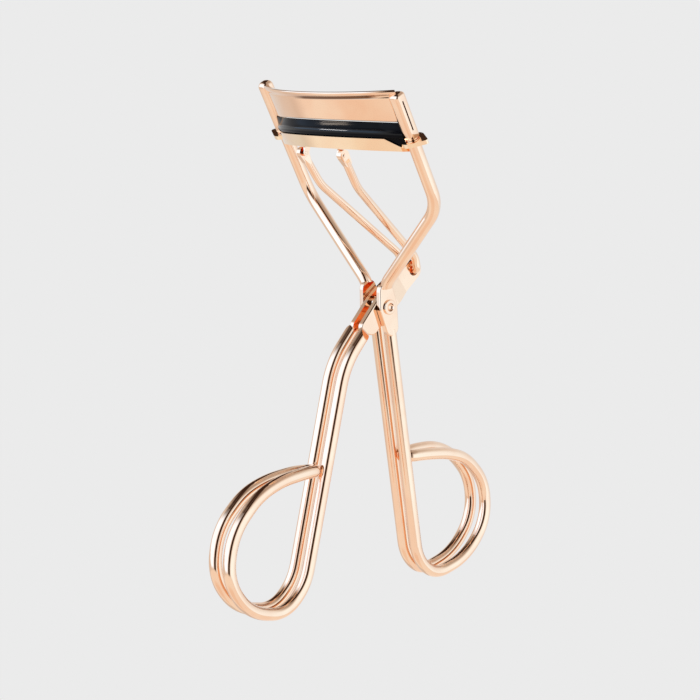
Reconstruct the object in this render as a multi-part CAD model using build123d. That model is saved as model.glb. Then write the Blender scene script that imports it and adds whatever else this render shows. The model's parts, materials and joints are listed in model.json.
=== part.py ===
from build123d import *
import math
import os

# Eyelash curler, millimetres and degrees. The origin is the centre of the pivot rivet.
# +X runs along the rivet, across the jaw. +Z points from the finger loops to the jaw.
# -Y is the side that the jaw bulges towards. The model is at rest with the jaw closed.

# ---- wire and sheet -------------------------------------------------------------
WIRE_D = 2.5                # handle wire
LINK_D = 1.6                # link wire
SLIDE_GAP = 0.12            # lower jaw eye around the post, on the radius
RUN_GAP = 0.06              # turning parts on the rivet, on the radius
SEAT_GAP = 0.02             # pieces pressed together

# ---- legs and finger loops ------------------------------------------------------
HANDLE_LEAN = 11.7          # each leg from the vertical
STRAND_X = 1.84             # half the spacing of a leg's two strands
REAR_LEG_OFFSET = 0.54      # rear leg's line from the pivot
FRONT_LEG_OFFSET = 7.95     # front leg's line from the pivot
# Corners of each loop's centre line: distance down the leg, distance out from the leg, and
# how much lower the right strand is than the middle. At the last corner the strands start
# to close up. The tip is the bend that joins them, in the leg's groove.
REAR_LOOP = [(55.4, 0.0, 0.0), (60.65, 4.3, 0.0), (60.4, 13.8, 0.0), (54.5, 21.0, 0.0),
             (45.5, 21.7, 0.0), (38.4, 17.0, 0.1), (35.2, 11.8, 0.4), (33.5, 5.4, 0.15)]
REAR_TIP = (33.0, 1.9, -0.1)
FRONT_LOOP = [(56.3, 0.0, 0.0), (61.9, 4.15, 0.0), (61.7, 13.3, 0.0), (55.4, 20.3, 0.0),
              (46.4, 20.9, 0.0), (39.5, 16.4, -0.15), (36.4, 11.4, -0.3), (34.5, 5.2, -0.25)]
FRONT_TIP = (33.9, 1.85, -0.3)
LOOP_YAW = 0.75             # the strands spread around the loop
END_X = 1.7                 # half spacing where the strands start to close up
TIP_X = 1.36                # half spacing at the tip

# ---- pivot ----------------------------------------------------------------------
FLAT_T = 1.1                # flattened wire
FLAT_ROUND = 0.3            # rounding of a flat's outer edge
FRONT_FLAT_IN = 0.75        # inner face of the front handle's flats
REAR_FLAT_IN = 1.95         # inner face of the rear handle's flats
RIVET_R = 1.0
RIVET_HEAD_R = 1.5
RIVET_HEAD_T = 0.4
RIVET_CUP_R = 0.85
RIVET_CUP_DEPTH = 0.6
SPACER_R = 1.9
# Circles whose hull is the flat's outline: Y, Z, radius.
REAR_FLAT = [(-0.75, 3.1, 1.8), (0.0, 0.0, 2.35), (1.2, -4.3, 1.65)]
FRONT_FLAT = [(-4.7, -3.8, 1.3), (-3.2, -3.4, 2.1), (0.0, 0.0, 2.4), (8.4, 6.7, 2.0)]
FRONT_SHOULDER = (-5.1, -4.5)
SHOULDER_SLOPE = 2.0        # length of the slope between wire and flat
FRONT_ELBOW = (-10.4, -10.8)
ELBOW_R = 9.0
LEVER_PINCH = (3.2, 6.6)    # the lever's flats close up between these distances
LEVER_IN = 0.05             # inner face of each lever flat at its end

# ---- frame and posts ------------------------------------------------------------
POST_X = 17.95              # the posts stand this far each side of the middle
POST_LEAN = 29.8            # the posts lean towards -Y
FRAME_BEND = (-2.9, 20.9)   # Y, Z of the frame wire's bend
FRAME_BEND_R = 7.4
FRAME_FOOT = (2.55, -0.85, 4.3)
FRAME_FOOT_R = 5.0
SLEEVE_W = 2.6
SLEEVE_ROUND = 0.7
SLEEVE_FOOT = 33.8
LEFT_SLEEVE_TOP = 43.1
RIGHT_SLEEVE_TOP = 41.7     # the right sleeve is a little shorter
SLEEVE_TOP_T = 0.5
TENON_R = 0.9               # the wire's thinner end inside its sleeve
SLEEVE_TOP_R = 0.45         # rounding of the closed top
SEAM_W = 0.3                # slot between the folded sheet's edges
SEAM_DEPTH = 0.35
SEAM_Y = -0.2
SEAM_INSET = 1.4            # the slot stops this far from each end

# ---- jaw ------------------------------------------------------------------------
SAGITTA = 7.6               # depth of the upper plate's front face
PLATE_T = 0.9
PLATE_FOOT = 36.45
PLATE_RIM = (42.6, 41.45, 42.2)     # height of the top edge: left, middle, right
PAD_SEAT = (-1.4, 0.5)      # pad inside the channel, out from the plate's front face
PAD_HEAD = (-1.75, 0.8)     # pad above the channel
PAD_Z = (31.6, 33.4, 36.3)  # bottom, step and top of the pad
PAD_X = 16.2
CHANNEL_OUT = 0.95
CHANNEL_IN = -1.85
CHANNEL_Z = (31.1, 33.3)
CHANNEL_T = 0.4
CHANNEL_X = 16.65
CHAMFER_X = (14.6, 16.6)    # the front lip slopes down to the ends
CHAMFER_Z = 31.95
EYE_Z = 33.2                # height where the lower jaw's eye crosses the post
EYE_T = 0.8
EYE_R = 2.3
EYE_TIP_X = 21.7
EYE_TIP_R = 0.45

# ---- link -----------------------------------------------------------------------
LINK_TOP = (-15.85, 29.9)   # Y, Z of the pins at the link's upper ends
LINK_EYE_X = 5.73
LINK_EYE_R = 1.1
LINK_EYE_T = 1.0
LINK_FAN = 1.7              # the eye narrows to the wire over this length
LINK_PRESS = (0.9, 3.0)     # the wire thins from the second distance to the first
LINK_KINK = (5.2, -11.5, 23.8)
LINK_KINK_R = 9.0
LINK_KNEE = (2.15, 7.6, 9.5)
LINK_KNEE_R = 4.0
LUG_X = 4.8
LUG_T = 0.5
LUG_R = 0.65
PIN_R = 0.3
PIN_HEAD_R = 0.36
PIN_HEAD_T = 0.1
LINK_FOOT = (8.4, 6.7)      # Y, Z of the link's lower cross bar, in the lever's end
LINK_FOOT_X = 2.1
LEVER_HOLE_R = 1.22         # wide hole: this pivot of the closed linkage is the open one

WIRE_R = WIRE_D / 2
LINK_R = LINK_D / 2
LEAN = math.radians(POST_LEAN)
POST = Vector(0, -math.sin(LEAN), math.cos(LEAN))
FRONT_R = (POST_X ** 2 + SAGITTA ** 2) / (2 * SAGITTA)


def chord_y(z):
    """Y of the posts' centre line at height z."""
    return FRAME_BEND[0] - (z - FRAME_BEND[1]) * math.tan(LEAN)


def on_leg(handle, down, out, x):
    """Point in a handle's own frame: down the leg, out from it, and across in X."""
    side, offset = handle
    lean = math.radians(HANDLE_LEAN)
    y = side * (down * math.sin(lean) + (out + offset) * math.cos(lean))
    z = -down * math.cos(lean) + (out + offset) * math.sin(lean)
    return Vector(x, y, z)


def rod(points, radii, radius):
    """Round wire along straight runs joined by tangent arcs."""
    path = FilletPolyline(*points, radius=radii)
    section = Plane(path @ 0, z_dir=path % 0) * Circle(radius)
    return sweep(section, path=path)


def smooth_radii(points, keep=()):
    """Largest tangent arc at each corner; keep holds fixed radii by corner number."""
    fixed = dict(keep)
    radii = []
    for i in range(1, len(points) - 1):
        before = points[i - 1] - points[i]
        after = points[i + 1] - points[i]
        half_turn = math.radians(180 - before.get_angle(after)) / 2
        widest = 0.485 * min(before.length, after.length) / math.tan(half_turn)
        radii.append(fixed.get(i, widest))
    return radii


def strand_down(handle, side, corners, tip):
    """Centre line of one strand's loop, from the end of its leg to the tip."""
    spread = math.tan(math.radians(LOOP_YAW))
    places = [STRAND_X + out * spread for down, out, skew in corners[:-1]] + [END_X, TIP_X]
    return [on_leg(handle, down + side * skew, out, side * x)
            for (down, out, skew), x in zip(corners + [tip], places)]


def loop_wire(handle, corners, tip, lead_in):
    """Both strands of a handle's leg and loop, joined at the tip. lead_in comes first."""
    right = lead_in(1) + strand_down(handle, 1, corners, tip)
    left = lead_in(-1) + strand_down(handle, -1, corners, tip)
    points = right + left[::-1]
    last = len(right) - 1
    tip_r = 0.98 * (points[last] - points[last + 1]).length / 2
    keep = {last: tip_r, last + 1: tip_r}
    for i in range(1, len(lead_in(1)) - 1):
        keep[i] = ELBOW_R
        keep[len(points) - 1 - i] = ELBOW_R
    return rod(points, smooth_radii(points, keep), WIRE_R)


def outline(circles):
    """Hull of circles given in Y and Z."""
    edges = []
    for y, z, radius in circles:
        edges += (Pos(y, z) * Circle(radius)).edges()
    return make_hull(edges)


def round_outer(shape):
    """Round the edge of the face that looks to +X."""
    return fillet(shape.faces().sort_by(Axis.X)[-1].edges(), FLAT_ROUND)


def flat(circles, x_in):
    """Flattened stretch of wire on the +X side, FLAT_T thick."""
    return round_outer(extrude(Plane.YZ.offset(x_in) * outline(circles), FLAT_T))


def across(shape):
    """The shape and its mirror image on the other side."""
    return shape + mirror(shape, about=Plane.YZ)


def pivot_hole(radius):
    return Rot(0, 90, 0) * Cylinder(radius, 20)


def block(low, high):
    """Box between two corners."""
    size = [b - a for a, b in zip(low, high)]
    centre = [(a + b) / 2 for a, b in zip(low, high)]
    return Pos(*centre) * Box(*size)


def post_plane(z):
    """Plane across the right post at height z: local x is X, local y is up the slope."""
    return Plane((POST_X, chord_y(z), z), x_dir=(1, 0, 0), z_dir=POST)


def post_length(z_low, z_high):
    return (z_high - z_low) / math.cos(LEAN)


def curved_strip(out_low, out_high, z_range, half_x):
    """Curved bar of the jaw: between two offsets from the plate's front face."""
    z_low, z_high = z_range
    centre_y = chord_y(z_low) + FRONT_R - SAGITTA
    ring = Circle(FRONT_R + out_high) - Circle(FRONT_R + out_low)
    front = Pos(0, -FRONT_R) * Rectangle(2 * half_x, 2 * FRONT_R - SAGITTA)
    section = Plane((0, centre_y, z_low)) * (ring & front)
    return extrude(section, post_length(z_low, z_high), dir=POST)


# ---- handles --------------------------------------------------------------------
REAR = (1, REAR_LEG_OFFSET)
FRONT = (-1, FRONT_LEG_OFFSET)


def rear_lead_in(side):
    return [on_leg(REAR, 4.6, 0, side * STRAND_X)]


def front_lead_in(side):
    return [Vector(side * STRAND_X, *FRONT_SHOULDER), Vector(side * STRAND_X, *FRONT_ELBOW)]


def frame_wire():
    """Right frame wire: from the pivot flat out to the bend, and up the post."""
    foot = Vector(*FRAME_FOOT)
    bend = Vector(POST_X, *FRAME_BEND)
    top = Vector(POST_X, chord_y(SLEEVE_FOOT), SLEEVE_FOOT)
    points = [foot - Vector(0, -0.7, 2.9), foot, bend, top]
    wire = rod(points, [FRAME_FOOT_R, FRAME_BEND_R], WIRE_R)
    tenon_top = RIGHT_SLEEVE_TOP - SLEEVE_TOP_T
    tenon = extrude(post_plane(SLEEVE_FOOT) * Circle(TENON_R),
                    post_length(SLEEVE_FOOT, tenon_top))
    return wire + tenon


def make_rear_handle():
    wire = loop_wire(REAR, REAR_LOOP, REAR_TIP, rear_lead_in)
    body = wire + across(frame_wire() + flat(REAR_FLAT, REAR_FLAT_IN))
    body -= block((-REAR_FLAT_IN, -5, -4.2), (REAR_FLAT_IN, 5, 4.5))
    outer = REAR_FLAT_IN + FLAT_T
    shoulder = Pos(outer + 2, 0, 0) * Rot(14, 0, 0) * block((-2, -6, -4.8), (2, 6, 3.9))
    body -= across(shoulder)
    return body - pivot_hole(RIVET_R + SEAT_GAP)


def lever_profile():
    """Thickness of the front flats along the lever, on the +X side."""
    start, end = LEVER_PINCH
    outer = FRONT_FLAT_IN + FLAT_T
    shift = FRONT_FLAT_IN - LEVER_IN
    points = [(-10, FRONT_FLAT_IN), (start, FRONT_FLAT_IN), (end, LEVER_IN), (15, LEVER_IN),
              (15, outer - shift), (end, outer - shift), (start, outer), (-10, outer)]
    lever = Vector(0, *LINK_FOOT).normalized()
    plane = Plane((0, 0, 0), x_dir=lever, z_dir=lever.cross(Vector(1, 0, 0)))
    return extrude(plane * make_face(Polyline(*points, close=True)), 8, both=True)


def front_shoulder():
    """Wedge that slopes the front wire's end down to its flat, on the +X side."""
    flat_x = FRONT_FLAT_IN + FLAT_T
    shoulder, elbow = Vector(0, *FRONT_SHOULDER), Vector(0, *FRONT_ELBOW)
    down = (elbow - shoulder).normalized()
    plane = Plane(shoulder, x_dir=(1, 0, 0), z_dir=Vector(1, 0, 0).cross(down))
    wedge = [(flat_x, -1), (flat_x, 0), (STRAND_X + WIRE_R + 0.1, SHOULDER_SLOPE),
             (STRAND_X + WIRE_R + 0.1, -1)]
    return extrude(plane * make_face(Polyline(*wedge, close=True)), 4, both=True)


def make_front_handle():
    wire = loop_wire(FRONT, FRONT_LOOP, FRONT_TIP, front_lead_in)
    wire -= across(front_shoulder())
    whole = round_outer(extrude(Plane.YZ * outline(FRONT_FLAT), FRONT_FLAT_IN + FLAT_T))
    lever = whole & lever_profile()
    body = wire + across(lever)
    body -= pivot_hole(RIVET_R + RUN_GAP)
    foot_hole = Pos(0, *LINK_FOOT) * Rot(0, 90, 0) * Cylinder(LEVER_HOLE_R, 8)
    return body - foot_hole


def make_rivet():
    outer = REAR_FLAT_IN + FLAT_T
    shank = Rot(0, 90, 0) * Cylinder(RIVET_R, 2 * outer)
    head = Plane.YZ.offset(outer) * extrude(Circle(RIVET_HEAD_R), RIVET_HEAD_T)
    head = fillet(head.faces().sort_by(Axis.X)[-1].edges(), 0.2)
    cup_r = (RIVET_CUP_R ** 2 + RIVET_CUP_DEPTH ** 2) / (2 * RIVET_CUP_DEPTH)
    cup = Pos(outer + RIVET_HEAD_T - RIVET_CUP_DEPTH + cup_r, 0, 0) * Sphere(cup_r)
    return shank + across(head) - across(cup)


def make_spacer():
    ring = Circle(SPACER_R) - Circle(RIVET_R + RUN_GAP)
    return extrude(Plane.YZ * ring, FRONT_FLAT_IN - SEAT_GAP, both=True)


# ---- posts and upper jaw --------------------------------------------------------
def make_sleeve(top):
    """Right sleeve: a sheet folded round the wire's end, closed at the top."""
    bottom = SLEEVE_FOOT
    plane = post_plane(bottom)
    body = extrude(plane * RectangleRounded(SLEEVE_W, SLEEVE_W, SLEEVE_ROUND),
                   post_length(bottom, top))
    body = fillet(body.faces().sort_by(Axis.Z)[-1].edges(), SLEEVE_TOP_R)
    bore = extrude(plane * Circle(TENON_R + SEAT_GAP),
                   post_length(bottom, top - SLEEVE_TOP_T) + SEAT_GAP)
    body -= bore
    slot = Pos(SLEEVE_W / 2, SEAM_Y, SEAM_INSET) * Rectangle(2 * SEAM_DEPTH, SEAM_W)
    seam = extrude(plane * slot, post_length(bottom, top) - 2 * SEAM_INSET)
    return body - seam


def make_upper_plate():
    left, middle, right = PLATE_RIM
    low = PLATE_FOOT
    plate = curved_strip(-PLATE_T, 0, (low, left), POST_X)
    rim = [(-POST_X, left), (0, middle), (POST_X, right)]
    below_rim = Polyline(rim[2], (POST_X, low - 1), (-POST_X, low - 1), rim[0])
    below_rim += ThreePointArc(*rim)
    plate &= extrude(Plane.XZ * make_face(below_rim), 60, both=True)
    gap = SLEEVE_W + 2 * SEAT_GAP
    post = extrude(post_plane(low - 2) * RectangleRounded(gap, gap, SLEEVE_ROUND), 12)
    return plate - across(post)


# ---- lower jaw ------------------------------------------------------------------
def make_channel():
    tray = curved_strip(CHANNEL_IN, CHANNEL_OUT, CHANNEL_Z, CHANNEL_X)
    floor_z = CHANNEL_Z[0] + CHANNEL_T
    trough = curved_strip(CHANNEL_IN + CHANNEL_T, CHANNEL_OUT - CHANNEL_T,
                          (floor_z, CHANNEL_Z[1] + 1), CHANNEL_X - CHANNEL_T)
    tray -= trough
    slope = Polyline((CHAMFER_X[0], CHANNEL_Z[1] + 0.01), (CHAMFER_X[1], CHAMFER_Z),
                     (CHANNEL_X + 1, CHAMFER_Z), (CHANNEL_X + 1, CHANNEL_Z[1] + 1),
                     (CHAMFER_X[0], CHANNEL_Z[1] + 1), close=True)
    cut = Pos(0, -6, 0) * extrude(Plane.XZ * make_face(slope), 20)
    tray -= across(cut)
    plane = post_plane(EYE_Z)
    circles = [(0, 0, EYE_R), (EYE_TIP_X - EYE_TIP_R - POST_X, 0, EYE_TIP_R)]
    eye = plane * Pos(0, 0, -EYE_T / 2) * extrude(outline(circles), EYE_T)
    tray += across(eye)
    hole = plane * Cylinder(WIRE_R + SLIDE_GAP, 12)
    return tray - across(hole)


def make_pad():
    """Rubber pad, notched at its ends for the lower jaw's eyes."""
    bottom, step, top = PAD_Z
    pad = curved_strip(*PAD_SEAT, (bottom, step), PAD_X) + curved_strip(*PAD_HEAD, (step, top), PAD_X)
    notch = post_plane(EYE_Z) * Pos(0, 0, EYE_T / 2 + SEAT_GAP)
    return pad - across(extrude(notch * Circle(EYE_R + SEAT_GAP), -4))


def x_disc(x, radius, thickness):
    """Disc on the link's upper axis, centred at x."""
    return Pos(x, *LINK_TOP) * Rot(0, 90, 0) * Cylinder(radius, thickness)


def make_lug():
    """Right hanger under the channel for the link's pin."""
    y, z = LINK_TOP
    profile = outline([(y, z, LUG_R), (y + 0.3, CHANNEL_Z[0], LUG_R)])
    body = extrude(Plane.YZ.offset(LUG_X - LUG_T / 2) * profile, LUG_T)
    below_channel = block((0, y - 4, z - 3), (LUG_X + 2, y + 4, CHANNEL_Z[0]))
    return (body & below_channel) - x_disc(LUG_X, PIN_R + SEAT_GAP, 3)


def make_pin():
    """Right pin, from the lug through the link's eye, with its head outside."""
    inner = LUG_X - LUG_T / 2
    outer = LINK_EYE_X + LINK_EYE_T / 2 + SEAT_GAP
    shank = x_disc((inner + outer) / 2, PIN_R, outer - inner)
    return shank + x_disc(outer + PIN_HEAD_T / 2, PIN_HEAD_R, PIN_HEAD_T)


# ---- link -----------------------------------------------------------------------
def link_press(top, down):
    """Wedges that press the right end of the link's wire down to the eye's thickness."""
    near, far = LINK_PRESS
    inside, outside = LINK_EYE_T / 2, LINK_R + 0.3
    plane = Plane(top, x_dir=(1, 0, 0), z_dir=Vector(1, 0, 0).cross(down))
    wedge = Polyline((inside, -2), (inside, near), (outside, far), (outside, -2), close=True)
    wedges = make_face(wedge) + mirror(make_face(wedge), about=Plane.YZ)
    return extrude(plane * wedges, 3, both=True)


def make_link():
    top = Vector(LINK_EYE_X, *LINK_TOP)
    kink = Vector(*LINK_KINK)
    down = (kink - top).normalized()
    start = top + down * 0.9 * LINK_EYE_R
    half = [start, kink, Vector(*LINK_KNEE), Vector(LINK_FOOT_X, *LINK_FOOT)]
    other = [Vector(-v.X, v.Y, v.Z) for v in half]
    foot_bend = 1.05 * LINK_R
    radii = [LINK_KINK_R, LINK_KNEE_R, foot_bend]
    wire = rod(half + other[::-1], radii + radii[::-1], LINK_R)
    neck = top + down * LINK_FAN
    fan = outline([(top.Y, top.Z, LINK_EYE_R), (neck.Y, neck.Z, LINK_R)])
    eye = extrude(Plane.YZ.offset(LINK_EYE_X) * fan, LINK_EYE_T / 2, both=True)
    hole = x_disc(LINK_EYE_X, PIN_R + RUN_GAP, 3)
    return wire - across(link_press(top, down)) + across(eye) - across(hole)


def save(shape, name):
    export_step(shape, "parts/" + name + ".step")


os.makedirs("parts", exist_ok=True)
save(make_rear_handle(), "rear_handle_wire")
save(make_front_handle(), "front_handle_wire")
save(make_rivet(), "pivot_rivet")
save(make_spacer(), "pivot_spacer")
save(make_sleeve(RIGHT_SLEEVE_TOP), "right_post_sleeve")
save(mirror(make_sleeve(LEFT_SLEEVE_TOP), about=Plane.YZ), "left_post_sleeve")
save(make_upper_plate(), "upper_jaw_plate")
save(make_channel(), "lower_jaw_channel")
save(make_pad(), "rubber_pad")
right_lug = make_lug()
save(right_lug, "right_link_lug")
save(mirror(right_lug, about=Plane.YZ), "left_link_lug")
right_pin = make_pin()
save(right_pin, "right_link_pin")
save(mirror(right_pin, about=Plane.YZ), "left_link_pin")
save(make_link(), "link_wire")
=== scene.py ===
"""Eyelash curler in polished rose gold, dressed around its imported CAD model. Metres."""
import json
import math

import bmesh
import bpy
from mathutils import Matrix, Vector


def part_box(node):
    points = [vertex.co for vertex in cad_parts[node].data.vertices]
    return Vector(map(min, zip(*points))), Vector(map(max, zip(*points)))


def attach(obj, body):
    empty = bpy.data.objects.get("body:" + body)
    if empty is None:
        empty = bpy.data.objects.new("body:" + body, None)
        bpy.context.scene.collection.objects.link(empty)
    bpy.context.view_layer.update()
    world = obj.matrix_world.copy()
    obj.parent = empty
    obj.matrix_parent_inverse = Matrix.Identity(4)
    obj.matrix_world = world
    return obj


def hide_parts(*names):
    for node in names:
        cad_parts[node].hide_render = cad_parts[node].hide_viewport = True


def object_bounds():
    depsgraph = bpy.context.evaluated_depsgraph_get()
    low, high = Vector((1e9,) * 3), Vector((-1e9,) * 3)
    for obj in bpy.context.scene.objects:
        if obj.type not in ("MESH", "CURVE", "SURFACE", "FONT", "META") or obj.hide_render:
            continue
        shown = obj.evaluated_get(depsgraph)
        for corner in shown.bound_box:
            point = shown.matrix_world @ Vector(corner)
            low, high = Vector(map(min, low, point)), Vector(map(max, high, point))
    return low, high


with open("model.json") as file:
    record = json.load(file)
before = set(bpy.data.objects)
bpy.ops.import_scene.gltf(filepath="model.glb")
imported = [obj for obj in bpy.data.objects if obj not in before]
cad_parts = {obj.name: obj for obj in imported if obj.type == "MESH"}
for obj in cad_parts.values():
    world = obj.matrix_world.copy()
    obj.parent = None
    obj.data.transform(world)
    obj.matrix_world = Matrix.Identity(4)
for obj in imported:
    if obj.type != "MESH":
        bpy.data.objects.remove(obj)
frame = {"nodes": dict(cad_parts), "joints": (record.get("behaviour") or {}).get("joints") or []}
CAD_BOX = [list(corner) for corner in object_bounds()]

MM = 0.001

# ---- view and studio ------------------------------------------------------------
VIEW_AZIMUTH = 47.0         # the camera looks from between +X and -Y
VIEW_DOWN = 9.67
VIEW_ROLL = 1.6
VIEW_DISTANCE = 309 * MM
AIM = Vector((-3.0, -4.6, -9.0)) * MM
LENS = 80.1
PAPER = 0.831               # pale backdrop and floor
BOX_LEFT = (1.15, 1.60, 2.25, 1)    # soft boxes, cool against the warm metal
BOX_RIGHT = (1.10, 1.38, 1.66, 1)
BOX_RIGHT_FAR = (0.84, 0.92, 1.00, 1)
STRIP_TURN = -70.0                  # narrow strip light that only the rubber sees
STRIP_RISE = 12.0
STRIP_DISTANCE = 0.4
STRIP_SIZE = (0.20, 0.12)
STRIP_POWER = 2.6
BACK = (0.76, 0.75, 0.74, 1)
CEILING_LEFT = (0.045, 0.024, 0.016, 1)
CEILING_RIGHT = (0.50, 0.47, 0.45, 1)
SHADOW = (0.034, 0.015, 0.007, 1)
TABLE = (0.95, 0.94, 0.93, 1)
TABLE_NEAR = (0.91, 0.80, 0.72, 1)
TABLE_FAR = (0.70, 0.67, 0.65, 1)
# Where each surface starts and ends in degrees, then how soft each edge is. Turn is measured
# from straight behind the camera, to the right. Rise is the height over the horizon.
LEFT_TURN = (-119, -27, 6, 8)
LEFT_NARROWS = (-60, -120)          # the left box gets lower between these turns
LEFT_FOOT = (-25, -4)
LEFT_HEAD = (47, 28)
RIGHT_TURN = (22, 160, 9, 10)
RIGHT_RISE = (-27, 36, 3, 20)
RIGHT_FADE = (60, 140)
GAP_TURN = (-18, 13, 4, 6)
GAP_RISE = (-31, -26)
FAR_LEFT_TURN = (-118, -138)
FAR_LEFT_RISE = (14, 34)
CEILING_TURN = (-60, 90)
CEILING_RISE = (25, 62)
TABLE_FAR_TURN = (-110, -130)
TABLE_NEAR_TURN = (-75, 15, 10, 10)
TABLE_NEAR_RISE = (-42, -54)
TABLE_EDGE = (-26, -31)
FLOOR_HALF = 2.0
FLOOR_DROP = 0.1 * MM               # the floor lies this far under the tool
GLOSSY_BOUNCES = 12                 # light reaches the gaps between the pivot's flats

# ---- plating --------------------------------------------------------------------
GOLD = ((0.955, 0.615, 0.410, 1), (0.970, 0.665, 0.455, 1))
PALE_GOLD = ((0.985, 0.71, 0.475, 1), (1.0, 0.77, 0.525, 1))
# painted shade: dark colour laid into the groove under the bead and into the sleeves' slots
PAINTED_CREASE_SHADE = (0.20, 0.085, 0.035, 1)
BLACK = ((0.0018, 0.0021, 0.0030, 1), (0.0040, 0.0046, 0.0062, 1))
BUMP_DEPTH = 0.02 * MM
ROUGH_SPREAD = 0.05                 # the roughest plating over the smoothest
RUBBER_ROUGH = (0.13, 0.19)
GLOSS_SPAN = (-0.55 * MM, 0.15 * MM)        # the rubber's glossy band, from its ridge
GLOSS_SOFT = (0.2 * MM, 0.12 * MM)
GLOSS_SHARE = 0.6

# ---- jaw ------------------------------------------------------------------------
SAGITTA = 7.6 * MM          # depth of the upper plate's curve
RIM_RISE = 5.0 * MM         # top edge over bottom edge, in the middle
RIM_CURVE = 0.95 * MM       # extra height toward both ends
RIM_TILT = 0.20 * MM        # left end above right end, halved
PLATE_T = 0.9 * MM
BEAD_R = 0.46 * MM
GROOVE_SHADE_SPAN = (-0.12, 0.84)         # where shade is painted into the groove under the bead
SLEEVE_HALF = 1.3 * MM
SLEEVE_CORNER = 0.85 * MM
SLEEVE_TOP_OVER = 0.48 * MM         # the sleeve's box reaches this far over its axis end
SLOT_AT = -0.2 * MM
SLOT_HALF = 0.15 * MM
SLOT_DEPTH = 0.35 * MM
SLOT_INSET = 1.6 * MM
RIDGE = 3.1 * MM                    # height of the rubber's ridge over its bottom
PAD_REACH = 0.38 * MM               # the rubber's ends press slightly into the sleeves
PAD_STEP = 1.75 * MM                # height of the channel's lip on the rubber
PAD_BACK = 1.75 * MM                # the rubber's back, behind the plate's front face
PAD_BACK_ROUND = 0.42 * MM
PLATE_ROUND = 0.14 * MM
BEAD_BACK = 0.08 * MM               # the bead's centre, behind the plate's front face
GROOVE_FOOT = 2.95                  # the groove starts this many bead radii under the rim
SLOT_RAMP = 0.12 * MM               # length over which the slot reaches its depth
DOME_RINGS = 14
DOME_SWEEP = 88                     # degrees of the sleeve's rounded top
DOME_FULLNESS = 0.75
STATIONS = 120
SHARP_ANGLE = 50


# ---- node helpers ---------------------------------------------------------------
class Nodes:
    """Small helper that adds and wires nodes in one tree."""

    def __init__(self, tree):
        self.tree = tree
        tree.nodes.clear()

    def add(self, kind, inputs=None, **settings):
        node = self.tree.nodes.new(kind)
        for name, value in settings.items():
            setattr(node, name, value)
        for name, value in (inputs or {}).items():
            self.put(node.inputs[name], value)
        return node

    def put(self, socket, value):
        if isinstance(value, bpy.types.NodeSocket):
            self.tree.links.new(value, socket)
        else:
            socket.default_value = value

    def math(self, operation, a, b=0.0):
        node = self.add("ShaderNodeMath", operation=operation)
        self.put(node.inputs[0], a)
        self.put(node.inputs[1], b)
        return node.outputs[0]

    def ramp(self, value, start, end, low=0.0, high=1.0):
        """Smooth step of value from start to end."""
        node = self.add("ShaderNodeMapRange", interpolation_type="SMOOTHSTEP", inputs={
            "Value": value, "From Min": min(start, end), "From Max": max(start, end),
            "To Min": low if start < end else high, "To Max": high if start < end else low})
        return node.outputs["Result"]

    def window(self, value, low, high, soft_low, soft_high):
        rise = self.ramp(value, low - soft_low, low + soft_low)
        fall = self.ramp(value, high + soft_high, high - soft_high)
        return self.math("MULTIPLY", rise, fall)

    def mix_colour(self, factor, a, b):
        node = self.add("ShaderNodeMix", data_type="RGBA")
        self.put(node.inputs[0], factor)
        self.put(node.inputs[6], a)
        self.put(node.inputs[7], b)
        return node.outputs[2]


# ---- camera, floor, light -------------------------------------------------------
def make_camera():
    azimuth, down, roll = (math.radians(v) for v in (VIEW_AZIMUTH, VIEW_DOWN, VIEW_ROLL))
    level = Vector((-math.sin(azimuth), math.cos(azimuth), 0))
    forward = level * math.cos(down) - Vector((0, 0, math.sin(down)))
    flat_right = Vector((math.cos(azimuth), math.sin(azimuth), 0))
    flat_up = flat_right.cross(forward)
    right = flat_right * math.cos(roll) + flat_up * math.sin(roll)
    up = flat_up * math.cos(roll) - flat_right * math.sin(roll)
    camera = bpy.data.objects.new("camera", bpy.data.cameras.new("camera"))
    camera.data.lens = LENS
    camera.data.clip_start = 0.01
    axes = Matrix((right, up, -forward)).transposed().to_4x4()
    camera.matrix_world = Matrix.Translation(AIM - forward * VIEW_DISTANCE) @ axes
    bpy.context.scene.collection.objects.link(camera)
    bpy.context.scene.camera = camera


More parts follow.
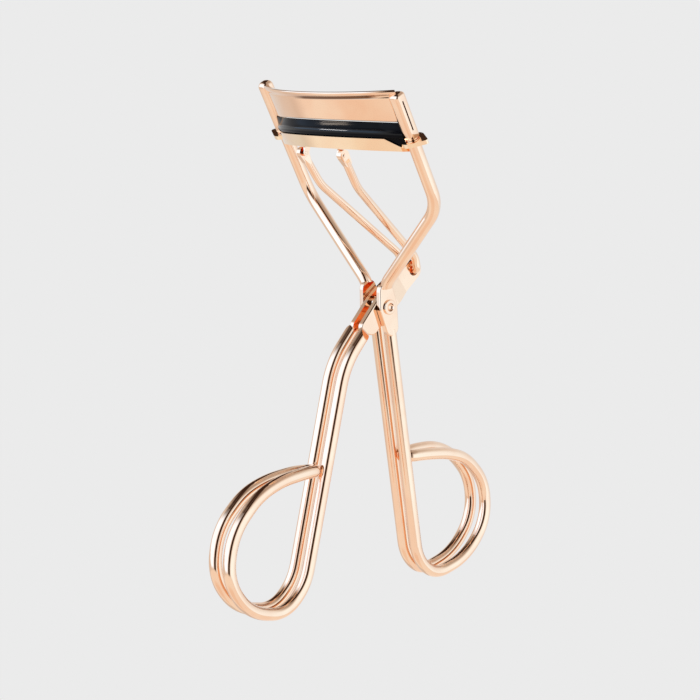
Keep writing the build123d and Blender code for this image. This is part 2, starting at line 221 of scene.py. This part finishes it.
def make_surroundings():
    """White studio: two soft boxes, a dark gap between them, a dim ceiling, a pale table."""
    world = bpy.data.worlds.new("studio")
    bpy.context.scene.world = world
    world.use_nodes = True
    n = Nodes(world.node_tree)
    direction = n.add("ShaderNodeTexCoord").outputs["Generated"]
    azimuth = math.radians(VIEW_AZIMUTH)
    to_front = n.add("ShaderNodeVectorMath", operation="DOT_PRODUCT",
                     inputs={0: direction, 1: (math.sin(azimuth), -math.cos(azimuth), 0)})
    to_right = n.add("ShaderNodeVectorMath", operation="DOT_PRODUCT",
                     inputs={0: direction, 1: (math.cos(azimuth), math.sin(azimuth), 0)})
    height = n.add("ShaderNodeSeparateXYZ", inputs={0: direction}).outputs["Z"]
    turn = n.math("ARCTAN2", to_right.outputs["Value"], to_front.outputs["Value"])
    turn = n.math("MULTIPLY", turn, math.degrees(1))
    rise = n.math("MULTIPLY", n.math("ARCSINE", height), math.degrees(1))

    left_foot = n.ramp(turn, *LEFT_NARROWS, *LEFT_FOOT)
    left_head = n.ramp(turn, *LEFT_NARROWS, *LEFT_HEAD)
    left = n.window(turn, *LEFT_TURN)
    left = n.math("MULTIPLY", left, n.ramp(n.math("SUBTRACT", rise, left_foot), -4, 4))
    left = n.math("MULTIPLY", left, n.ramp(n.math("SUBTRACT", rise, left_head), 10, -10))
    right = n.window(turn, *RIGHT_TURN)
    right = n.math("MULTIPLY", right, n.window(rise, *RIGHT_RISE))
    right_tone = n.mix_colour(n.ramp(turn, *RIGHT_FADE), BOX_RIGHT, BOX_RIGHT_FAR)
    gap = n.window(turn, *GAP_TURN)
    gap = n.math("MULTIPLY", gap, n.ramp(rise, *GAP_RISE))
    far_left = n.math("MULTIPLY", n.ramp(turn, *FAR_LEFT_TURN), n.ramp(rise, *FAR_LEFT_RISE))

    ceiling = n.mix_colour(n.ramp(turn, *CEILING_TURN), CEILING_LEFT, CEILING_RIGHT)
    light = n.mix_colour(n.ramp(rise, *CEILING_RISE), BACK, ceiling)
    light = n.mix_colour(far_left, light, CEILING_LEFT)
    light = n.mix_colour(left, light, BOX_LEFT)
    light = n.mix_colour(right, light, right_tone)
    light = n.mix_colour(gap, light, SHADOW)
    table = n.mix_colour(n.ramp(turn, *TABLE_FAR_TURN), TABLE, TABLE_FAR)
    near = n.math("MULTIPLY", n.window(turn, *TABLE_NEAR_TURN), n.ramp(rise, *TABLE_NEAR_RISE))
    table = n.mix_colour(near, table, TABLE_NEAR)
    light = n.mix_colour(n.ramp(rise, *TABLE_EDGE), light, table)
    seen = n.add("ShaderNodeLightPath").outputs["Is Camera Ray"]
    light = n.mix_colour(seen, light, (PAPER, PAPER, PAPER, 1))
    background = n.add("ShaderNodeBackground", inputs={"Color": light, "Strength": 1.0})
    n.add("ShaderNodeOutputWorld", inputs={"Surface": background.outputs[0]})


def make_strip_light(receiver):
    """Strip light at the left that gives the rubber its one narrow highlight."""
    azimuth, turn, rise = (math.radians(v) for v in (VIEW_AZIMUTH, STRIP_TURN, STRIP_RISE))
    away = azimuth + turn
    toward = Vector((math.sin(away) * math.cos(rise), -math.cos(away) * math.cos(rise),
                     math.sin(rise)))
    data = bpy.data.lights.new("strip", "AREA")
    data.shape = "RECTANGLE"
    data.size, data.size_y = STRIP_SIZE
    data.energy = STRIP_POWER
    strip = bpy.data.objects.new("strip", data)
    strip.location = (PAD_LOW + PAD_HIGH) / 2 + toward * STRIP_DISTANCE
    strip.rotation_euler = toward.to_track_quat("Z", "Y").to_euler()
    strip.visible_camera = False
    bpy.context.scene.collection.objects.link(strip)
    seen_by = bpy.data.collections.new("seen_by_strip")
    seen_by.objects.link(receiver)
    strip.light_linking.receiver_collection = seen_by


def make_floor():
    """Pale floor that runs into the backdrop without an edge."""
    mesh = bpy.data.meshes.new("floor")
    shape = bmesh.new()
    bmesh.ops.create_grid(shape, x_segments=1, y_segments=1, size=FLOOR_HALF)
    shape.to_mesh(mesh)
    shape.free()
    floor = bpy.data.objects.new("floor", mesh)
    floor.location.z = CAD_BOX[0][2] - FLOOR_DROP
    floor.visible_glossy = False
    floor.visible_diffuse = False
    bpy.context.scene.collection.objects.link(floor)
    material = bpy.data.materials.new("paper")
    material.use_nodes = True
    n = Nodes(material.node_tree)
    glow = n.add("ShaderNodeEmission", inputs={"Color": (1, 1, 1, 1), "Strength": PAPER})
    n.add("ShaderNodeOutputMaterial", inputs={"Surface": glow.outputs[0]})
    mesh.materials.append(material)


# ---- materials ------------------------------------------------------------------
def rose_gold(name, grain, smooth, ripple, tones):
    """Polished plating: tone drifts a little, shade is painted into creases, and fine ripples bend
    the reflections.
    """
    material = bpy.data.materials.new(name)
    material.use_nodes = True
    n = Nodes(material.node_tree)
    place = n.add("ShaderNodeTexCoord").outputs["Object"]
    drift = n.add("ShaderNodeTexNoise", inputs={
        "Vector": place, "Scale": 190.0, "Detail": 2.0}).outputs["Fac"]
    cloud = n.add("ShaderNodeTexNoise", inputs={
        "Vector": place, "Scale": grain, "Detail": 4.0, "Roughness": 0.6}).outputs["Fac"]
    tone = n.mix_colour(n.ramp(drift, 0.35, 0.65), *tones)
    # painted shade from the crease attribute, darkening the groove under the bead and the sleeves'
    # slots
    crease_shade = n.add("ShaderNodeAttribute", attribute_name="crease_shade").outputs["Fac"]
    tone = n.mix_colour(crease_shade, tone, PAINTED_CREASE_SHADE)
    rough = n.ramp(cloud, 0.3, 0.75, smooth, smooth + ROUGH_SPREAD)
    bump = n.add("ShaderNodeBump", inputs={
        "Strength": ripple, "Distance": BUMP_DEPTH, "Height": cloud})
    shader = n.add("ShaderNodeBsdfPrincipled", inputs={
        "Base Color": tone, "Metallic": 1.0, "Roughness": rough, "Coat Weight": 0.4,
        "Coat IOR": 1.5, "Coat Roughness": 0.03, "Normal": bump.outputs["Normal"]})
    n.add("ShaderNodeOutputMaterial", inputs={"Surface": shader.outputs[0]})
    return material


def rubber(name):
    """Black silicone rubber: moulded gloss with a faint mottle."""
    material = bpy.data.materials.new(name)
    material.use_nodes = True
    n = Nodes(material.node_tree)
    place = n.add("ShaderNodeTexCoord").outputs["Object"]
    cloud = n.add("ShaderNodeTexNoise", inputs={
        "Vector": place, "Scale": 260.0, "Detail": 3.0}).outputs["Fac"]
    pores = n.add("ShaderNodeTexNoise", inputs={
        "Vector": place, "Scale": 5200.0, "Detail": 2.0}).outputs["Fac"]
    tone = n.mix_colour(cloud, *BLACK)
    height = n.add("ShaderNodeSeparateXYZ", inputs={0: place}).outputs["Z"]
    ridge = PAD_LOW.z + RIDGE
    gloss = n.window(height, ridge + GLOSS_SPAN[0], ridge + GLOSS_SPAN[1], *GLOSS_SOFT)
    gloss = n.math("MULTIPLY", gloss, GLOSS_SHARE)
    bump = n.add("ShaderNodeBump", inputs={
        "Strength": 0.12, "Distance": BUMP_DEPTH, "Height": pores})
    shader = n.add("ShaderNodeBsdfPrincipled", inputs={
        "Base Color": tone, "Roughness": n.ramp(cloud, 0.3, 0.7, *RUBBER_ROUGH),
        "IOR": 1.15, "Specular Tint": (1.0, 0.8, 0.62, 1), "Coat Weight": gloss,
        "Coat IOR": 1.45, "Coat Roughness": 0.09,
        "Normal": bump.outputs["Normal"]})
    n.add("ShaderNodeOutputMaterial", inputs={"Surface": shader.outputs[0]})
    return material


# ---- curved jaw pieces ----------------------------------------------------------
JAW_AXIS = Vector(next(j for j in frame["joints"] if j["name"] == "jaw_slide")["axis"]).normalized()
SLOPE = -JAW_AXIS.y / JAW_AXIS.z
PLATE_LOW, PLATE_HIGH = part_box("upper_jaw_plate")
PAD_LOW, PAD_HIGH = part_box("rubber_pad")
SLEEVE_LOW, SLEEVE_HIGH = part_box("right_post_sleeve")
POST_X = (SLEEVE_LOW.x + SLEEVE_HIGH.x) / 2
FRONT_R = (POST_X ** 2 + SAGITTA ** 2) / (2 * SAGITTA)
RIM_MIDDLE_Z = PLATE_LOW.z + RIM_RISE
LEAN_SINE = -JAW_AXIS.y
BACK_UP = Vector((0, JAW_AXIS.z, -JAW_AXIS.y))      # across the posts, to the back


def jaw_point(x_share, out, z):
    """Point at an offset out from the plate's front face, x_share from -1 to 1 post to post."""
    swing = x_share * math.asin(POST_X / FRONT_R)
    centre_y = PLATE_LOW.y + (RIM_MIDDLE_Z - z) * SLOPE + FRONT_R
    reach = FRONT_R + out
    return Vector((reach * math.sin(swing), centre_y - reach * math.cos(swing), z))


def arc(centre, radius, start, end, steps):
    """Points of an arc in the section: out and height."""
    points = []
    for i in range(steps + 1):
        angle = math.radians(start + (end - start) * i / steps)
        points.append((centre[0] + radius * math.cos(angle), centre[1] + radius * math.sin(angle)))
    return points


def run(a, b, steps):
    """Points between a and b, without b."""
    return [(a[0] + (b[0] - a[0]) * i / steps, a[1] + (b[1] - a[1]) * i / steps)
            for i in range(steps)]


def curved_piece(name, section_at, stations):
    """Mesh lofted through closed sections; section_at(share) gives points in space."""
    shape = bmesh.new()
    rings = [[shape.verts.new(p) for p in section_at(share)] for share in stations]
    for ring, following in zip(rings, rings[1:]):
        for i in range(len(ring)):
            j = (i + 1) % len(ring)
            shape.faces.new((ring[i], ring[j], following[j], following[i]))
    shape.faces.new(rings[0][::-1])
    shape.faces.new(rings[-1])
    bmesh.ops.recalc_face_normals(shape, faces=shape.faces)
    mesh = bpy.data.meshes.new(name)
    shape.to_mesh(mesh)
    shape.free()
    mesh.polygons.foreach_set("use_smooth", [len(p.vertices) == 4 for p in mesh.polygons])
    mesh.set_sharp_from_angle(angle=math.radians(SHARP_ANGLE))
    piece = bpy.data.objects.new(name, mesh)
    bpy.context.scene.collection.objects.link(piece)
    return piece


GROOVE_POINTS = range(25, 31)       # points of the plate's section that get the painted groove shade
SLOT_POINTS = range(46, 48)         # points of a sleeve's section that get the painted slot shade


def groove_shade(share):
    """How much shade is painted into the groove under the bead, from 0 to 1."""
    low, high = GROOVE_SHADE_SPAN
    rise = min(max((share - low) / 0.16, 0), 1)
    fall = min(max((high - share) / 0.1, 0), 1)
    return min(rise, fall)


def plate_section(share):
    """Sheet with a rolled bead along its top edge and a groove under the bead."""
    low = PLATE_LOW.z
    top = RIM_MIDDLE_Z + RIM_CURVE * share ** 2 - RIM_TILT * share
    ease = PLATE_ROUND
    foot = top - GROOVE_FOOT * BEAD_R
    bead_at = (-BEAD_BACK, top - BEAD_R)
    section = run((0, low + ease), (0, foot), 24)
    section += run((0, foot), (-0.07 * MM, foot + 0.16 * MM), 3)
    section += run((-0.07 * MM, foot + 0.16 * MM), (-0.03 * MM, foot + 0.36 * MM), 3)
    section += arc(bead_at, BEAD_R, -70, 90, 24)
    back = -PLATE_T
    section += run((bead_at[0] - 0.1 * MM, top), (back + ease, top), 3)
    section += arc((back + ease, top - ease), ease, 90, 180, 5)
    section += run((back, top - 2 * ease), (back, low + ease), 14)
    section += arc((back + ease, low + ease), ease, 180, 270, 5)
    section += arc((-ease, low + ease), ease, 270, 345, 5)
    return [jaw_point(share, out, z) for out, z in section]


def shade(piece, shade_levels, points):
    """Store each section's painted shade, from 0 to 1, on the given points of the section."""
    count = len(piece.data.vertices) // len(shade_levels)
    crease_shade = piece.data.attributes.new("crease_shade", "FLOAT", "POINT")
    for i, depth in enumerate(shade_levels):
        for j in points:
            crease_shade.data[i * count + j].value = depth


def smooth_through(points, steps):
    """Catmull-Rom curve through points in the section, without the last one."""
    ends = [points[0]] + points + [points[-1]]
    curve = []
    for a, b, c, d in zip(ends, ends[1:], ends[2:], ends[3:]):
        for i in range(steps):
            t = i / steps
            curve.append(tuple(
                0.5 * (2 * q + (r - p) * t + (2 * p - 5 * q + 4 * r - w) * t ** 2
                       + (3 * q - p - 3 * r + w) * t ** 3)
                for p, q, r, w in zip(a, b, c, d)))
    return curve


def pad_section(share):
    """Moulded rubber: a seat in the channel under a rounded, slightly swollen head."""
    low, top = PAD_LOW.z, PAD_HIGH.z
    step = low + PAD_STEP
    ridge = low + RIDGE
    front = [(0.40, low + 0.05 * MM), (0.48, low + 0.4 * MM), (0.49, step - 0.1 * MM),
             (0.62, step + 0.03 * MM), (0.78, step + 0.24 * MM), (0.86, step + 0.55 * MM),
             (0.83, ridge - 0.4 * MM), (0.74, ridge - 0.16 * MM), (0.62, ridge)]
    slant = [(0.20, 0.16), (0.57, 0.5), (0.98, 1.0), (1.32, 1.54), (1.52, 1.6)]
    full = 1 - 0.75 * max(0, (abs(share) - 0.8) / 0.2)
    front += [(0.62 - back * full, ridge + lift * MM) for back, lift in slant]
    section = [(-1.36 * MM, low + 0.05 * MM)]
    section += smooth_through([(out * MM, z) for out, z in front], 4)
    section += run(((0.62 - slant[-1][0] * full) * MM, top), (-1.3 * MM, top), 3)
    ease = PAD_BACK_ROUND
    section += arc((-PAD_BACK + ease, top - ease), ease, 90, 180, 8)
    section += [(-PAD_BACK, step + 0.2 * MM), (-1.7 * MM, step), (-1.38 * MM, step - 0.05 * MM)]
    limit = (PAD_HIGH.x + PAD_REACH) / POST_X
    return [jaw_point(share * limit, out, z) for out, z in section]


def sleeve_section(scale, slot_depth):
    """Rounded square across the post, with a slot in its outer side: across and back."""
    flat = SLEEVE_HALF - SLEEVE_CORNER
    section = []
    for turn, across, back in ((0, 1, 1), (90, -1, 1), (180, -1, -1), (270, 1, -1)):
        section += arc((across * flat, back * flat), SLEEVE_CORNER, turn, turn + 90, 10)
    for edge, inward in ((-1.4, 0), (-1, 0), (-0.9, 1), (0.9, 1), (1, 0), (1.4, 0)):
        section.append((SLEEVE_HALF - inward * slot_depth, SLOT_AT + edge * SLOT_HALF))
    return [(across * scale, back * scale) for across, back in section]


def sleeve(node, side, dome):
    """Folded sleeve round a post's end, closed by a rounded top. side is 1 at the right."""
    low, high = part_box(node)
    foot = jaw_point(side, 0, low.z + SLEEVE_HALF * LEAN_SINE)
    tall = (high.z - SLEEVE_TOP_OVER - foot.z) / JAW_AXIS.z
    rings = [(0, 0.93, 0), (0.05 * MM, 0.97, 0), (0.15 * MM, 1, 0)]
    slot = (SLOT_INSET, tall - SLOT_INSET)
    rings += [(slot[0], 1, 0), (slot[0] + SLOT_RAMP, 1, SLOT_DEPTH)]
    rings += [(slot[1] - SLOT_RAMP, 1, SLOT_DEPTH), (slot[1], 1, 0)]
    for i in range(DOME_RINGS + 1):
        lift = math.radians(DOME_SWEEP * i / DOME_RINGS)
        rings.append((tall - dome * (1 - math.sin(lift)), math.cos(lift) ** DOME_FULLNESS, 0))

    def section_at(ring):
        along, scale, depth = ring
        centre = foot + JAW_AXIS * along
        return [centre + Vector((side * across, 0, 0)) + BACK_UP * back
                for across, back in sleeve_section(scale, depth)]

    piece = curved_piece(node.replace("post_sleeve", "folded_sleeve"), section_at, rings)
    # painted shade in the bottom of the slot, where it is cut deep
    shade(piece, [1.0 if ring[2] else 0.0 for ring in rings], SLOT_POINTS)
    return piece


def even(count):
    return [2 * i / count - 1 for i in range(count + 1)]


def dress(piece, material, body, node):
    piece.data.materials.append(material)
    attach(piece, body)
    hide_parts(node)


make_camera()
make_surroundings()
make_floor()
bpy.context.scene.view_settings.view_transform = "Standard"
bpy.context.scene.cycles.glossy_bounces = GLOSSY_BOUNCES

wire_gold = rose_gold("polished_wire", 900.0, 0.045, 0.015, GOLD)
sheet_gold = rose_gold("polished_sheet", 700.0, 0.07, 0.02, GOLD)
pale_gold = rose_gold("pale_sheet", 700.0, 0.08, 0.02, PALE_GOLD)
black_rubber = rubber("black_rubber")

for name, node in frame["nodes"].items():
    finish = {"rubber_pad": black_rubber, "lower_jaw_channel": pale_gold}.get(name, wire_gold)
    for slot in node.material_slots:
        slot.material = finish

plate = curved_piece("rolled_jaw_plate", plate_section, even(STATIONS))
# painted shade along the groove under the bead
shade(plate, [groove_shade(share) for share in even(STATIONS)], GROOVE_POINTS)
dress(plate, sheet_gold, "frame", "upper_jaw_plate")
for node, side, dome in (("left_post_sleeve", -1, 1.2 * MM), ("right_post_sleeve", 1, 0.8 * MM)):
    dress(sleeve(node, side, dome), sheet_gold, "frame", node)
pad = curved_piece("moulded_rubber_pad", pad_section, even(STATIONS))
dress(pad, black_rubber, "lower_jaw", "rubber_pad")
make_strip_light(pad)
